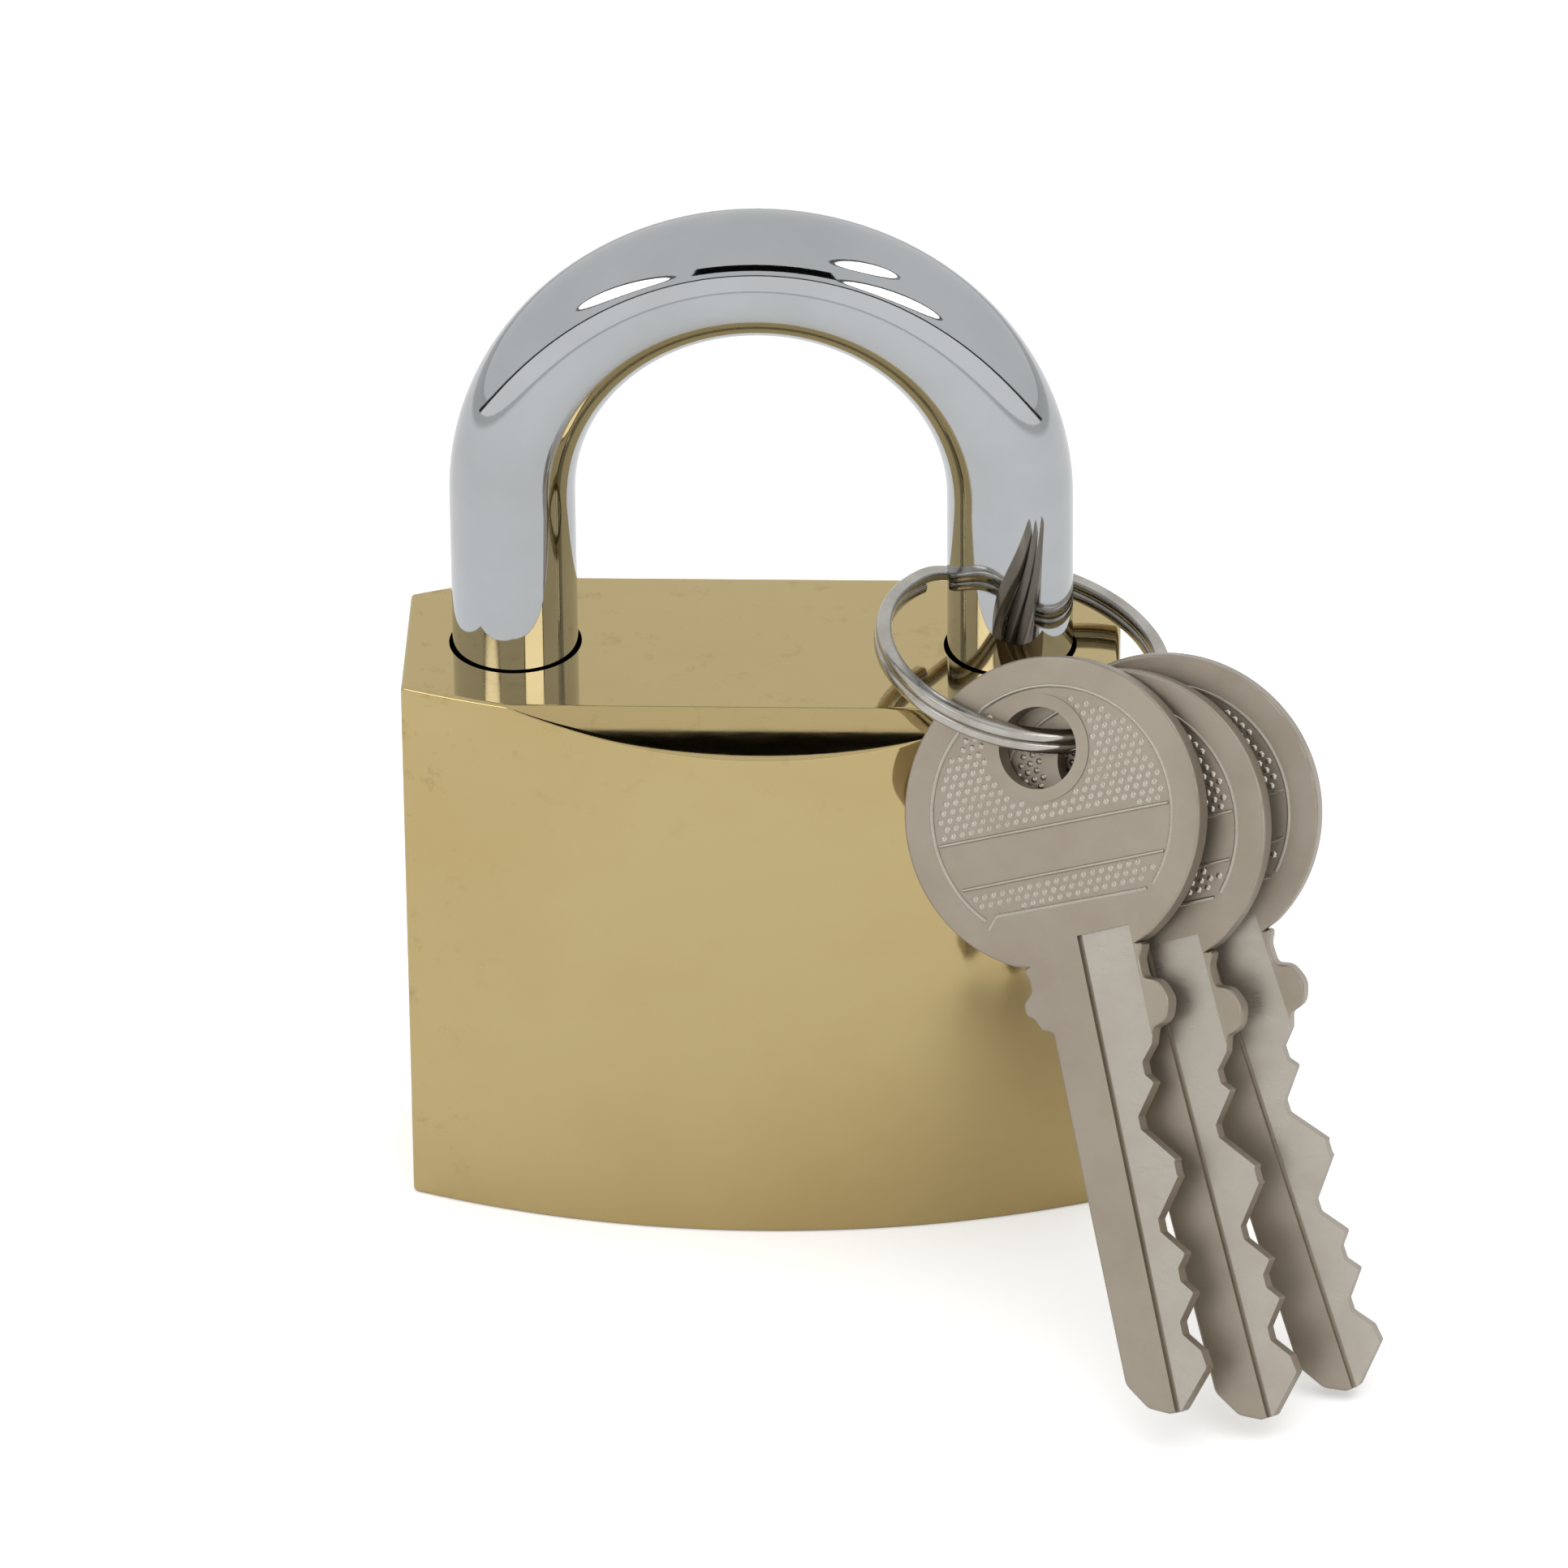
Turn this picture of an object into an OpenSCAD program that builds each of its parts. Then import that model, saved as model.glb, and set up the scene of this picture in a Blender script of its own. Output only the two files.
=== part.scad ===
// Brass padlock with a steel shackle, a split ring and its keys.
// Millimetres. Origin at the centre of the body's underside, +Z up,
// the front face towards -Y, the toe of the shackle on the +X side.

/* [Body] */
// Width of the body
body_w = 50; // [48:1:54]
// Height of the body
body_h = 41.3; // [41:0.1:43]
// Thickness of the body at its middle
body_t = 23.4; // [23:0.1:25]
// Radius of the bulged front and back faces
face_r = 64.75; // [60:0.25:90]
// Height of the slanted facet along each top edge
facet_h = 2.9; // [1.5:0.1:4]
// Depth of the slanted facet along each top edge
facet_d = 2.6; // [1:0.1:3]
// Edge break along the body's edges
edge = 0.35; // [0.1:0.05:0.5]

/* [Shackle] */
// Diameter of the shackle rod
rod_d = 8.8; // [8:0.1:9]
// Distance between the centres of the legs
leg_pitch = 34.6; // [34:0.1:35]
// Height of the straight legs above the body
leg_h = 12; // [8:0.5:30]
// Diameter of the two shackle bores
bore_d = 9.3; // [9.1:0.1:9.6]
// How far the shackle lifts when it opens
lift = 10.5; // [10:0.1:11]

/* [Lock] */
// Diameter of the plug that the key turns
plug_d = 12; // [11.5:0.1:12.5]
// Distance between neighbouring pins
pin_pitch = 3.6; // [3.5:0.05:3.7]
// Height of the first pin above the underside
pin_first = 2.7; // [2.6:0.1:2.9]
// Diameter of the pins
pin_d = 2.6; // [2.4:0.1:2.8]
// Travel of each latch
latch_travel = 1.8; // [1.7:0.05:1.9]

/* [Split ring] */
// Outer diameter of the split ring
ring_d = 20.9; // [20.7:0.1:21.1]
// Radial thickness of the ring's wire
wire_r = 1.05; // [0.9:0.1:1.2]
// Width of one turn of the ring's wire
wire_w = 0.83; // [0.7:0.05:0.9]

/* [Keys] */
// Diameter of the key's bow
bow_d = 21.8; // [20:0.1:22]
// Thickness of a key
key_t = 1.8; // [1.5:0.1:1.9]
// Diameter of the hole in the bow
key_hole_d = 5.7; // [5.4:0.1:6]
// Length from the centre of the bow to the tip
key_len = 42.1; // [42:0.1:42.6]

/* [Hidden] */
$fn = 72;

// Height of each cut above the key's middle line, from the bow to the tip.
// The same heights set the lengths of the key pins.
cuts = [2.8, 1.7, 3.6, 1.6, 2.3, 1.65];
pins = len(cuts);

leg_x = leg_pitch / 2;
rod_r = rod_d / 2;
bore_r = bore_d / 2;
body_x = body_w / 2;
arch_z = body_h + leg_h;
face_y = face_r - body_t / 2;
facet_y = body_t / 2 - facet_d;

// Shackle bores and legs, by height
toe_floor_z = 29.8;
toe_end_z = toe_floor_z + 1.2;
heel_floor_z = 1.6;
heel_end_z = 12;
collar_h = 3;
stop_pin_r = 1;
stop_pin_z = heel_end_z + collar_h + lift + stop_pin_r + 0.05;
neck_r = 2.8;
neck_top_z = stop_pin_z + stop_pin_r + 0.3;
stop_pin_x = -leg_x + neck_r + 0.15 + stop_pin_r;
stop_pin_reach = 4;

// Plug, cam and latches
plug_r = plug_d / 2;
plug_gap = 0.05;
plug_low_z = 0.2;
plug_top_z = 28.2;
groove_z = 24.5;
groove_h = 1.8;
groove_r = 4.6;
plug_pin_r = 0.8;
plug_pin_x = 5.55;
plug_pin_z = groove_z + groove_h / 2;
plug_pin_reach = 3;
keyway_w = 2.1;
keyway_low = -3.45;
keyway_high = 3.95;
keyway_top_z = 27;
cam_z = 31;
latch_z = 35.5;
latch_r = 2.45;
latch_bore_r = 2.5;
// Reach of a drawn-back latch along X; its tip stays inside its own bore
latch_reach = leg_x - bore_r - 0.15;
cam_pin_r = 0.6;
cam_pin_orbit = latch_travel / sqrt(2);
cam_pin_top_z = 36;
well_r = 2.3;
tail_gap = 0.1;
// Cross slot on top of the plug, for the cam's tongue
slot_w = 2;
slot_deep = 0.8;

// Pin stacks, along +X from the plug
chamber_r = pin_d / 2 + 0.05;
shear_gap = 0.1;
driver_l = 4.5;
chamber_plug_l = 3.4;
chamber_plug_r = 1.6;
spring_gap = 0.05;
// Room left at the blind end of a retaining pin's hole
end_gap = 0.05;

// Places of the ring and keys: centre and tilt of the ring, then for each key
// the centre of its hole, its lean, its turn about the vertical and its fan angle
ring_at = [18.25, -4.53, 43.04];
ring_tilt = [5.6, 11.7, 0];
key_holes = [[19.74, -14.19, 41.14], [23.79, -13.72, 39.87], [26.83, -11.6, 39.85]];
key_leans = [27.6, 25.9, 23.4];
key_turns = [-23, -19.2, -12.7];
key_fans = [24.1, 24.3, 24];
hole_up = 4.65;

// Key blade: distances along it from the bow's centre, and heights above its middle line
blade_top = 15.8;
blade_low = -3.15;
blade_high = 3.75;
cut_half = 0.45;
cut_slope = 0.8;

// How far a cutting shape reaches past the surface that it opens
past = 1;

body_color = [0.80, 0.66, 0.38];
steel_color = [0.78, 0.79, 0.80];
nickel_color = [0.66, 0.62, 0.56];
brass_color = [0.75, 0.60, 0.32];
spring_color = [0.60, 0.62, 0.64];

function pin_z(i) = pin_first + i * pin_pitch;
function pin_len(i) = plug_r - plug_gap - cuts[i];

// Rings of points along a coil, and the closed tube around them
function coil_ring(radius, wire, a, z, sides) = [
    for (k = [0 : sides - 1])
        let (b = 360 * k / sides, r = radius + wire * cos(b))
        [r * cos(a), r * sin(a), z + wire * sin(b)]
];

// Coil spring along +Z from 0 to length; the end turns lie nearly flat
module coil_spring(radius, wire, length, turns, per_turn, sides) {
    steps = turns * per_turn;
    rise = length - 2 * wire;
    points = [
        for (i = [0 : steps])
            let (u = i / steps)
            each coil_ring(radius, wire, 360 * turns * u, wire + rise * u, sides)
    ];
    walls = [
        for (i = [0 : steps - 1], k = [0 : sides - 1])
            let (a = i * sides + k, b = i * sides + (k + 1) % sides)
            each [[a, b, b + sides], [a, b + sides, a + sides]]
    ];
    first = [[for (k = [sides - 1 : -1 : 0]) k]];
    last = [[for (k = [0 : sides - 1]) steps * sides + k]];
    polyhedron(points = points, faces = concat(first, walls, last));
}

module along_x(x, z) {
    translate([x, 0, z]) rotate([0, 90, 0]) children();
}

// Cylinder about the vertical axis of a bulged face, with a broken edge at both ends
module face_barrel(y) {
    translate([0, y, edge]) cylinder(r = face_r, h = body_h - 2 * edge, $fn = 240);
    translate([0, y, 0]) cylinder(r1 = face_r - edge, r2 = face_r, h = edge, $fn = 240);
    translate([0, y, body_h - edge]) cylinder(r1 = face_r, r2 = face_r - edge, h = edge, $fn = 240);
}

// Slab across the width with its four vertical edges broken
module side_slab() {
    half = face_r;
    corner_y = sqrt(face_r * face_r - body_x * body_x) - face_y;
    linear_extrude(height = body_h) polygon([
        [-body_x, -corner_y + edge], [-body_x + edge, -corner_y - 0.2], [-body_x + edge, -half],
        [body_x - edge, -half], [body_x - edge, -corner_y - 0.2], [body_x, -corner_y + edge],
        [body_x, corner_y - edge], [body_x - edge, corner_y + 0.2], [body_x - edge, half],
        [-body_x + edge, half], [-body_x + edge, corner_y + 0.2], [-body_x, corner_y - edge]
    ]);
}

// Wedge that cuts the slanted facet along the front top edge
module facet_cut() {
    slope = facet_d / facet_h;
    run = 8;
    rotate([90, 0, 90]) linear_extrude(height = body_w + 2, center = true) polygon([
        [-facet_y + slope, body_h + 1],
        [-facet_y - slope * run, body_h - run],
        [-body_t, body_h - run],
        [-body_t, body_h + 1]
    ]);
}

module body_block() {
    difference() {
        intersection() {
            face_barrel(face_y);
            face_barrel(-face_y);
            side_slab();
        }
        facet_cut();
        mirror([0, 1, 0]) facet_cut();
    }
}

module lock_body() {
    chamber_l = body_x - plug_r;
    color(body_color) difference() {
        body_block();
        // Shackle bores
        translate([-leg_x, 0, heel_floor_z]) cylinder(r = bore_r, h = body_h);
        translate([leg_x, 0, toe_floor_z]) cylinder(r = bore_r, h = body_h);
        // Plug bore and the well of the cam
        translate([0, 0, -past]) cylinder(r = plug_r + plug_gap, h = cam_z + past);
        translate([0, 0, cam_z - past]) cylinder(r = well_r, h = latch_z - cam_z + past);
        // Latch bore, from the toe side through to the heel bore
        along_x(-leg_x, latch_z) cylinder(r = latch_bore_r, h = leg_x + body_x + past);
        // Pin chambers, each with a wider seat for its plug
        for (i = [0 : pins - 1]) {
            along_x(plug_r - past, pin_z(i))
                cylinder(r = chamber_r, h = chamber_l + 2 * past, $fn = 40);
            along_x(body_x - chamber_plug_l, pin_z(i))
                cylinder(r = chamber_plug_r, h = chamber_plug_l + past, $fn = 40);
        }
        // Cross holes of the two retaining pins, from the back face
        from_back(stop_pin_x, stop_pin_z, stop_pin_r, stop_pin_reach);
        from_back(plug_pin_x, plug_pin_z, plug_pin_r, plug_pin_reach);
    }
}

// Rod of radius r that runs in from behind the back face as far as y = -reach
module from_back(x, z, r, reach) {
    translate([x, body_t, z]) rotate([90, 0, 0]) cylinder(r = r, h = body_t + reach, $fn = 40);
}

// Rod of the shackle: two legs, the arch, the neck and the two latch notches
module shackle() {
    notch_h = 2 * latch_r + 0.5;
    notch_deep = latch_reach + latch_travel + 0.15 - (leg_x - rod_r);
    toe_bevel = 1;
    heel_bevel = 0.5;
    color(steel_color) difference() {
        union() {
            translate([leg_x, 0, toe_end_z + toe_bevel])
                cylinder(r = rod_r, h = arch_z - toe_end_z - toe_bevel);
            translate([leg_x, 0, toe_end_z]) cylinder(r1 = rod_r - toe_bevel, r2 = rod_r, h = toe_bevel);
            translate([-leg_x, 0, neck_top_z]) cylinder(r = rod_r, h = arch_z - neck_top_z);
            translate([-leg_x, 0, heel_end_z]) cylinder(r = neck_r, h = neck_top_z - heel_end_z + 0.5);
            translate([-leg_x, 0, heel_end_z + heel_bevel]) cylinder(r = rod_r, h = collar_h - heel_bevel);
            translate([-leg_x, 0, heel_end_z])
                cylinder(r1 = rod_r - heel_bevel, r2 = rod_r, h = heel_bevel);
            translate([0, 0, arch_z]) rotate([90, 0, 0])
                rotate_extrude(angle = 180, $fn = 120) translate([leg_x, 0]) circle(r = rod_r);
        }
        for (side = [-1, 1]) {
            inner = side * (leg_x - rod_r + notch_deep / 2 - 1);
            translate([inner, 0, latch_z])
                cube([notch_deep + 2, rod_d + 2, notch_h], center = true);
        }
    }
}

// Plug with its keyway, the chambers of the key pins and the retaining groove.
// At rest it stands turned to open, so the cut side of the keyway faces -Y.
module plug() {
    color(brass_color) rotate([0, 0, -90]) difference() {
        translate([0, 0, plug_low_z]) cylinder(r = plug_r, h = plug_top_z - plug_low_z);
        translate([keyway_low, -keyway_w / 2, -past])
            cube([keyway_high - keyway_low, keyway_w, keyway_top_z + past]);
        for (i = [0 : pins - 1])
            along_x(0, pin_z(i)) cylinder(r = chamber_r, h = plug_r + past, $fn = 40);
        translate([0, 0, groove_z]) difference() {
            cylinder(r = plug_r + past, h = groove_h);
            translate([0, 0, -past]) cylinder(r = groove_r, h = groove_h + 2 * past);
        }
        // Cross slot that drives the cam
        translate([-plug_r - past, -slot_w / 2, plug_top_z - slot_deep])
            cube([plug_d + 2 * past, slot_w, slot_deep + past]);
    }
}

// Disc on the plug with two upright pins that draw the latches in and push them out
module cam() {
    disc_r = plug_r - 0.4;
    disc_h = 2.4;
    tongue = [1.9, plug_d - 2, 0.9];
    pin_low_z = plug_top_z + disc_h - 0.4;
    color(steel_color) union() {
        translate([0, 0, plug_top_z]) cylinder(r = disc_r, h = disc_h);
        translate([-tongue[0] / 2, -tongue[1] / 2, plug_top_z - slot_deep + 0.05]) cube(tongue);
        for (turn = [45, 225])
            rotate([0, 0, turn]) translate([cam_pin_orbit, 0, pin_low_z])
                cylinder(r = cam_pin_r, h = cam_pin_top_z - pin_low_z, $fn = 32);
    }
}

// Latch bolt, drawn back, for the toe side: a round head and a half-round tail
// whose cross slot takes one of the cam's pins
module latch() {
    tail_end = -2.9;
    head_start = 5.6;
    pin_x = -cam_pin_orbit / sqrt(2);
    pin_slot_w = 2 * cam_pin_r + 0.24;
    difference() {
        along_x(tail_end, latch_z) cylinder(r = latch_r, h = latch_reach - tail_end);
        translate([tail_end - past, -tail_gap, latch_z - latch_r - past])
            cube([head_start - tail_end + past, latch_r + past + tail_gap, 2 * (latch_r + past)]);
        translate([pin_x - pin_slot_w / 2, -latch_r - past, latch_z - latch_r - past])
            cube([pin_slot_w, latch_r + 2 * past, cam_pin_top_z + 0.2 - latch_z + latch_r + past]);
    }
}

module toe_latch() {
    color(steel_color) latch();
}

module heel_latch() {
    color(steel_color) rotate([0, 0, 180]) latch();
}

module shackle_spring() {
    length = heel_end_z - heel_floor_z - 2 * spring_gap;
    color(spring_color) translate([-leg_x, 0, heel_floor_z + spring_gap])
        coil_spring(radius = 3.2, wire = 0.45, length = length, turns = 6, per_turn = 16, sides = 6);
}

module heel_retaining_pin() {
    color(brass_color) intersection() {
        from_back(stop_pin_x, stop_pin_z, stop_pin_r, stop_pin_reach - end_gap);
        face_barrel(-face_y);
    }
}

module plug_retaining_pin() {
    color(brass_color) intersection() {
        from_back(plug_pin_x, plug_pin_z, plug_pin_r, plug_pin_reach - end_gap);
        face_barrel(-face_y);
    }
}

module latch_bore_plug() {
    start = leg_x + bore_r + 0.1;
    color(brass_color) along_x(start, latch_z) cylinder(r = latch_bore_r, h = body_x - start);
}

// Key pin, lifted to the shear line, as it stands when the key is in
module key_pin(i) {
    nose = 0.7;
    color(brass_color) rotate([0, 0, -90]) along_x(cuts[i], pin_z(i)) {
        cylinder(r1 = 0.4, r2 = pin_d / 2, h = nose, $fn = 32);
        translate([0, 0, nose]) cylinder(r = pin_d / 2, h = pin_len(i) - nose - 0.2, $fn = 32);
    }
}

module driver_pin(i) {
    color(steel_color) along_x(plug_r + shear_gap, pin_z(i))
        cylinder(r = pin_d / 2, h = driver_l, $fn = 32);
}

module pin_spring(i) {
    start = plug_r + shear_gap + driver_l + spring_gap;
    length = body_x - chamber_plug_l - spring_gap - start;
    color(spring_color) along_x(start, pin_z(i))
        coil_spring(radius = 0.95, wire = 0.2, length = length, turns = 6, per_turn = 10, sides = 5);
}

module chamber_plug(i) {
    color(brass_color) along_x(body_x - chamber_plug_l, pin_z(i))
        cylinder(r = chamber_plug_r, h = chamber_plug_l, $fn = 40);
}

// Two turns of flattened wire lying side by side
module split_ring() {
    out = ring_d / 2;
    e = 0.16;
    color(nickel_color) translate(ring_at) rotate(ring_tilt)
        rotate_extrude($fn = 120) for (turn = [-1, 0]) translate([out - wire_r, turn * wire_w])
            polygon([
                [e, 0], [wire_r - e, 0], [wire_r, e], [wire_r, wire_w - e],
                [wire_r - e, wire_w], [e, wire_w], [0, wire_w - e], [0, e]
            ]);
}

// Outline of the bitted edge: a flat at the bottom of each cut, and the peak after it
// where the ramps of two neighbouring cuts meet. The last ramp runs up to the tip.
function bitting() = [
    for (i = [0 : pins - 1])
        let (
            u = blade_top + pin_first + i * pin_pitch,
            half = pin_pitch / 2,
            next = i < pins - 1 ? cuts[i + 1] : cuts[i],
            peak_u = u + half + (next - cuts[i]) / (2 * cut_slope),
            peak = (cuts[i] + next) / 2 + cut_slope * (half - cut_half)
        )
        each [[cuts[i], u - cut_half], [cuts[i], u + cut_half], [min(peak, blade_high), peak_u]]
];
// Flat outline of the neck and blade: X across the blade, Y from the bow's centre to the tip
module blade_outline() {
    tip = key_len;
    edge_points = bitting();
    polygon(concat(
        [[-6.6, 6], [-6.0, 8], [-4.6, 9.2], [-4.1, 10.4], [-4.1, 11.2], [-4.5, 13.6],
        [-3.9, 14.4], [blade_low, 14.8], [blade_low, tip - 2.6], [-1.9, tip - 0.7],
        [-1.0, tip - 0.15], [-0.4, tip], [0.4, tip - 0.1], [2.9, tip - 2.6]],
        [for (k = [len(edge_points) - 1 : -1 : 0]) edge_points[k]],
        [[3.7, blade_top + 1.2], [4, blade_top], [4, 14.2], [4.3, 10.6], [5.2, 9.6], [6.6, 8], [6.6, 6]]
    ));
}

// Whole key, flat on the XY plane through its middle
module key_plate() {
    translate([0, 0, -key_t / 2]) {
        cylinder(d = bow_d, h = key_t, $fn = 120);
        linear_extrude(height = key_t) blade_outline();
        // Shoulder knobs
        translate([-4.1, 12.8, 0]) cylinder(r = 0.75, h = key_t, $fn = 24);
        translate([4.1, 14.2, 0]) cylinder(r = 1.55, h = key_t, $fn = 36);
    }
}

module key_blank() {
    mill = 0.2;
    groove_w = 0.3;
    groove_deep = 0.45;
    start = 8.6;
    difference() {
        key_plate();
        translate([0, -hole_up, -key_t]) cylinder(d = key_hole_d, h = 2 * key_t);
        // Milled flat on the cut side of the blade and the groove beside it, on both faces
        for (face = [0, 1]) mirror([0, 0, face]) {
            translate([0.2, start, key_t / 2 - mill]) cube([3.75, key_len, 1]);
            translate([0.2 - groove_w / 2, start, key_t / 2 - groove_deep])
                cube([groove_w, key_len, 1]);
        }
    }
}

// A key on the ring: the centre of its hole goes to the given place
module placed_key(i) {
    color(nickel_color) translate(key_holes[i]) rotate([-key_leans[i], 0, key_turns[i]])
        rotate([0, -key_fans[i], 0]) rotate([90, 0, 0]) mirror([0, 1, 0])
            translate([0, hole_up, 0]) key_blank();
}

lock_body();
shackle();
plug();
cam();
toe_latch();
heel_latch();
shackle_spring();
heel_retaining_pin();
plug_retaining_pin();
latch_bore_plug();
for (i = [0 : pins - 1]) {
    key_pin(i);
    driver_pin(i);
    pin_spring(i);
    chamber_plug(i);
}
split_ring();
for (i = [0 : 2]) {
    placed_key(i);
}
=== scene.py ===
"""Brass padlock with a chromed shackle, a split ring and three keys."""
import math

import bmesh
import bpy
from mathutils import Matrix, Vector


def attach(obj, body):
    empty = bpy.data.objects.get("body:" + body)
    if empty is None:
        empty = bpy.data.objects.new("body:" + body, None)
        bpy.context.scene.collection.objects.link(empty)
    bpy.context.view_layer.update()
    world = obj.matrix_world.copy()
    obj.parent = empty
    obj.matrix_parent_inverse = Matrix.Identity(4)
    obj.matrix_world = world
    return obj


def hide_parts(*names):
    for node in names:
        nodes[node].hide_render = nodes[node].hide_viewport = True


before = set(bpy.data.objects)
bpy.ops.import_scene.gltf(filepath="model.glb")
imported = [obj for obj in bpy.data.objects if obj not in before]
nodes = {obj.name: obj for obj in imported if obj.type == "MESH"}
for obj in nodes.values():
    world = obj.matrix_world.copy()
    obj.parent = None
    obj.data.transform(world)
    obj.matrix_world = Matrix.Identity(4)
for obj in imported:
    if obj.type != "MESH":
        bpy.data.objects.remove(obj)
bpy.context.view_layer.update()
MM = 0.001


# ---------------------------------------------------------------- small tools

def metres(points):
    return [tuple(MM * v for v in p) for p in points]


def mesh_object(name, points, faces, smooth=40):
    """A mesh piece from points in metres; edges sharper than the angle stay sharp."""
    mesh = bpy.data.meshes.new(name)
    mesh.from_pydata([tuple(p) for p in points], [], faces)
    mesh.validate()
    bm = bmesh.new()
    bm.from_mesh(mesh)
    bmesh.ops.recalc_face_normals(bm, faces=bm.faces)
    bm.to_mesh(mesh)
    bm.free()
    piece = bpy.data.objects.new(name, mesh)
    bpy.context.scene.collection.objects.link(piece)
    shade(piece, smooth)
    return piece


def shade(piece, angle):
    piece.data.polygons.foreach_set("use_smooth", [True] * len(piece.data.polygons))
    piece.data.set_sharp_from_angle(angle=math.radians(angle))


def apply_modifiers(piece):
    """Replaces the piece's mesh by what its modifiers make of it."""
    bpy.context.view_layer.update()
    graph = bpy.context.evaluated_depsgraph_get()
    made = bpy.data.meshes.new_from_object(piece.evaluated_get(graph))
    piece.modifiers.clear()
    old = piece.data
    piece.data = made
    bpy.data.meshes.remove(old)


def cut(piece, *cutters):
    """Cuts the cutters out of the piece and removes them."""
    for cutter in cutters:
        step = piece.modifiers.new("cut", "BOOLEAN")
        step.operation = "DIFFERENCE"
        step.solver = "EXACT"
        step.object = cutter
        apply_modifiers(piece)
        bpy.data.objects.remove(cutter)


def join(name, *parts):
    """One mesh piece out of several closed ones."""
    bm = bmesh.new()
    for part in parts:
        part.data.transform(part.matrix_world)
        bm.from_mesh(part.data)
        bpy.data.objects.remove(part)
    mesh = bpy.data.meshes.new(name)
    bm.to_mesh(mesh)
    bm.free()
    piece = bpy.data.objects.new(name, mesh)
    bpy.context.scene.collection.objects.link(piece)
    return piece


def bevel(piece, width, segments, angle):
    step = piece.modifiers.new("edge", "BEVEL")
    step.width = width
    step.segments = segments
    step.limit_method = "ANGLE"
    step.angle_limit = math.radians(angle)
    step.harden_normals = False


def turned(axis, profile, sides=64, origin=(0, 0)):
    """A closed turned body along X, Y or Z from its (level, radius) profile, in millimetres."""
    points = []
    for level, radius in profile:
        for k in range(sides):
            a = 2 * math.pi * k / sides
            u, v = origin[0] + radius * math.cos(a), origin[1] + radius * math.sin(a)
            points.append({"X": (level, u, v), "Y": (u, level, v), "Z": (u, v, level)}[axis])
    return mesh_object("turned", metres(points), tube_faces(len(profile), sides))


def clean(piece, reach=5e-6):
    """Merges points closer than the reach and drops what that flattens."""
    bm = bmesh.new()
    bm.from_mesh(piece.data)
    bmesh.ops.remove_doubles(bm, verts=bm.verts, dist=reach)
    bmesh.ops.dissolve_degenerate(bm, edges=bm.edges, dist=reach / 2)
    bmesh.ops.recalc_face_normals(bm, faces=bm.faces)
    bm.to_mesh(piece.data)
    bm.free()


def grid_faces(rows, columns, closed_rows=False, closed_columns=False):
    """Quads between neighbouring points of a grid whose rows follow one another."""
    faces = []
    for i in range(rows if closed_rows else rows - 1):
        for j in range(columns if closed_columns else columns - 1):
            n, m = (i + 1) % rows, (j + 1) % columns
            faces.append([i * columns + j, i * columns + m, n * columns + m, n * columns + j])
    return faces


def tube_faces(rows, columns):
    """A closed skin over rows that are closed loops, with a cap over the first and the last."""
    last = (rows - 1) * columns
    caps = [list(range(columns))[::-1], [last + k for k in range(columns)]]
    return grid_faces(rows, columns, closed_columns=True) + caps


def finish_piece(piece, body, material, slot, *replaced):
    piece.data.materials.clear()
    piece.data.materials.append(material)
    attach(piece, body)
    if replaced:
        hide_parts(*replaced)
    return piece


# ---------------------------------------------------------------- sizes, in millimetres

BODY_HALF, BODY_H, BODY_DEEP = 25.0, 41.3, 11.7
FACE_R = 64.75
FACE_Y = FACE_R - BODY_DEEP
FACET_H, FACET_D = 2.9, 2.6
FACET_Y = BODY_DEEP - FACET_D
FACET_SWELL = 0.038
EDGE_R = 0.35

LEG_X, ROD_R, BORE_R, ARCH_Z = 17.3, 4.4, 4.65, 53.3
TOE_FLOOR, TOE_END = 29.8, 31.0
HEEL_FLOOR, HEEL_END, COLLAR_TOP = 1.6, 12.0, 15.0
NECK_R, NECK_TOP = 2.8, 27.85
LATCH_Z, LATCH_BORE_R = 35.5, 2.5
NOTCH_H, NOTCH_DEEP = 5.4, 1.55
PLUG_BORE_R, CAM_TOP, WELL_R = 6.05, 31.0, 2.3
PIN_FIRST, PIN_PITCH, PINS = 2.7, 3.6, 6
CHAMBER_R, CHAMBER_PLUG_R, CHAMBER_PLUG_LEN = 1.35, 1.61, 3.4
# Holes of the heel's and the plug's retaining pins: x, z, radius, and how far in they reach
RETAINING_HOLES = [(-13.35, 26.55, 1.01, -4), (5.55, 25.4, 0.81, -3)]
# How far a cutting shape reaches past the surface that it opens
PAST = 1
FACET_STEP = 0.002

RING_R, WIRE_R, WIRE_W = 10.45, 1.05, 0.83
RING_AT = (18.25, -4.53, 43.04)
RING_TILT = (5.6, 11.7, 0.0)

BOW_R, KEY_HALF, HOLE_R, HOLE_UP, KEY_LEN = 10.9, 0.9, 2.85, 4.65, 42.1
KEY_HOLES = [(19.74, -14.19, 41.14), (23.79, -13.72, 39.87), (26.83, -11.6, 39.85)]
KEY_LEANS = [27.6, 25.9, 23.4]
KEY_TURNS = [-23.0, -19.2, -12.7]
KEY_FANS = [24.1, 24.3, 24.0]
CUTS = [2.8, 1.7, 3.6, 1.6, 2.3, 1.65]
BLADE_TOP, BLADE_LOW, BLADE_HIGH = 15.8, -3.15, 3.75
CUT_HALF, CUT_SLOPE = 0.45, 0.8


def rod(axis, low, high, radius, sides=64, origin=(0, 0)):
    """A closed cylinder, in millimetres, along one axis."""
    return turned(axis, [(low, radius), (high, radius)], sides, origin)


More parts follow.
